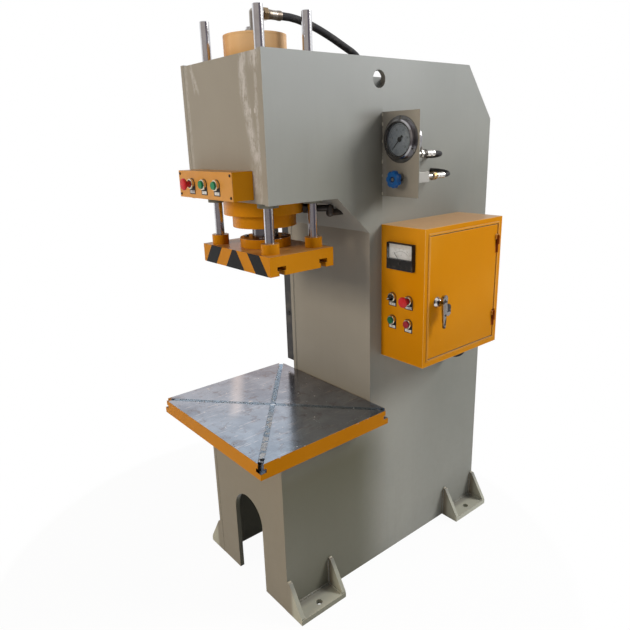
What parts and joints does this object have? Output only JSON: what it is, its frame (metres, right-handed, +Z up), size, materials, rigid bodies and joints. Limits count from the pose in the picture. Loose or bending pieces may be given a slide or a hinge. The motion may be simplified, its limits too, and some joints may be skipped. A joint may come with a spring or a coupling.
{
  "type": "hydraulic press",
  "caption": "C-frame hydraulic press with a guided ram platen over a T-slotted table, push-button station, electrical cabinet and pressure gauge.",
  "frame": {"origin": "on the floor under the ram axis, halfway between the side plates", "axes": "+X to the right of a person who faces the front, +Y to the back, +Z up along the ram axis"},
  "size_m": [0.7045, 1.106, 1.831],
  "materials": {
    "frame_paint": "grey-beige machine enamel, satin, lightly scuffed",
    "orange_paint": "orange machine enamel, semi-gloss",
    "table_paint": "orange enamel on the edges, bare worn steel on the top face",
    "stripe_paint": "black warning stripes, satin",
    "hard_chrome": "ground and hard-chromed rod",
    "zinc_steel": "zinc-plated turned fittings",
    "black_steel": "black-oxide steel",
    "polished_steel": "polished stainless gauge case",
    "bezel_metal": "bright plated bezel ring",
    "dial_enamel": "pale grey printed dial",
    "needle_paint": "matt black pointer",
    "clear_glass": "clear window",
    "black_plastic": "black moulded plastic, fine grain",
    "red_plastic": "red moulded cap",
    "green_plastic": "green moulded cap",
    "blue_plastic": "blue moulded knob",
    "hose_rubber": "black braided hydraulic hose",
    "motor_paint": "blue-grey motor enamel",
    "gear_plastic": "pale grey switchgear on a zinc plate"
  },
  "bodies": {
    "root": {"side_plate_left": "frame_paint", "side_plate_right": "frame_paint", "head_front_plate": "frame_paint", "head_top_plate": "frame_paint", "head_bottom_plate": "frame_paint", "throat_plate": "frame_paint", "bed_plate": "frame_paint", "base_front_plate": "frame_paint", "rear_plate": "frame_paint", "rear_cover": "frame_paint", "front_feet": "frame_paint", "rear_feet": "frame_paint", "work_table": "table_paint", "cylinder_barrel": "orange_paint", "cylinder_cap": "black_steel", "cylinder_gland": "orange_paint", "cylinder_screws": "black_steel", "top_fitting": "zinc_steel", "top_hose": "hose_rubber", "return_line": "black_steel", "guide_bushes": "frame_paint", "station_box": "orange_paint", "station_cover": "orange_paint", "button_bezels": "bezel_metal", "legend_plates": "black_plastic", "contact_blocks": "black_plastic", "cabinet_shell": "orange_paint", "cabinet_gear": "gear_plastic", "meter_case": "black_plastic", "meter_window": "clear_glass", "conduits": "hose_rubber", "gauge_bracket": "frame_paint", "gauge_case": "polished_steel", "gauge_dial": "dial_enamel", "gauge_glass": "clear_glass", "gauge_valve": "zinc_steel", "gauge_fittings": "zinc_steel", "gauge_hoses": "hose_rubber", "oil_tank": "frame_paint", "pump_motor": "motor_paint", "valve_block": "black_steel", "trip_rail": "black_steel", "trip_switches": "black_plastic"},
    "ram": {"piston_rod": "hard_chrome", "rod_flange": "orange_paint", "platen": "orange_paint", "guide_rods": "hard_chrome", "hazard_stripes": "stripe_paint"},
    "station_estop": {"station_estop": "red_plastic"},
    "station_button_left": {"station_button_left": "green_plastic"},
    "station_button_right": {"station_button_right": "green_plastic"},
    "cabinet_door": {"cabinet_door": "orange_paint"},
    "door_handle": {"door_handle": "zinc_steel"},
    "meter_needle": {"meter_needle": "needle_paint"},
    "selector_knob": {"selector_knob": "black_plastic"},
    "cabinet_estop": {"cabinet_estop": "red_plastic"},
    "start_button": {"start_button": "green_plastic"},
    "stop_button": {"stop_button": "red_plastic"},
    "gauge_needle": {"gauge_needle": "needle_paint"},
    "valve_knob": {"valve_knob": "blue_plastic"}
  },
  "joints": [
    {"name": "ram_slide", "type": "slide", "parent": "root", "child": "ram", "axis": [0, 0, -1], "range_m": [0, 0.2]},
    {"name": "station_estop_push", "type": "slide", "parent": "root", "child": "station_estop", "axis": [0, 1, 0], "range_m": [0, 0.004]},
    {"name": "station_left_push", "type": "slide", "parent": "root", "child": "station_button_left", "axis": [0, 1, 0], "range_m": [0, 0.004], "stiffness_N_per_m": 500, "springref_m": -0.002},
    {"name": "station_right_push", "type": "slide", "parent": "root", "child": "station_button_right", "axis": [0, 1, 0], "range_m": [0, 0.004], "stiffness_N_per_m": 500, "springref_m": -0.002},
    {"name": "cabinet_estop_push", "type": "slide", "parent": "root", "child": "cabinet_estop", "axis": [0, 1, 0], "range_m": [0, 0.004]},
    {"name": "start_push", "type": "slide", "parent": "root", "child": "start_button", "axis": [0, 1, 0], "range_m": [0, 0.004], "stiffness_N_per_m": 500, "springref_m": -0.002},
    {"name": "stop_push", "type": "slide", "parent": "root", "child": "stop_button", "axis": [0, 1, 0], "range_m": [0, 0.004], "stiffness_N_per_m": 500, "springref_m": -0.002},
    {"name": "selector_turn", "type": "hinge", "parent": "root", "child": "selector_knob", "pos_m": [0.2575, 0.294, 0.994], "axis": [0, 1, 0], "range_deg": [0, 60]},
    {"name": "door_swing", "type": "hinge", "parent": "root", "child": "cabinet_door", "pos_m": [0.388, 0.6555, 1.003], "axis": [0, 0, 1], "range_deg": [0, 110]},
    {"name": "handle_turn", "type": "hinge", "parent": "cabinet_door", "child": "door_handle", "pos_m": [0.3835, 0.357, 0.989], "axis": [1, 0, 0], "range_deg": [0, 90]},
    {"name": "meter_needle_turn", "type": "hinge", "parent": "root", "child": "meter_needle", "pos_m": [0.2945, 0.294, 1.10504], "axis": [0, 1, 0], "range_deg": [0, 80], "stiffness_Nm_per_rad": 0.002, "springref_deg": -2.86},
    {"name": "gauge_needle_turn", "type": "hinge", "parent": "root", "child": "gauge_needle", "pos_m": [0.2805, 0.297, 1.468], "axis": [0, 1, 0], "range_deg": [0, 270], "stiffness_Nm_per_rad": 0.002, "springref_deg": -2.86},
    {"name": "valve_turn", "type": "hinge", "parent": "root", "child": "valve_knob", "pos_m": [0.2805, 0.297, 1.357], "axis": [0, 1, 0], "range_deg": [0, 900]}
  ]
}
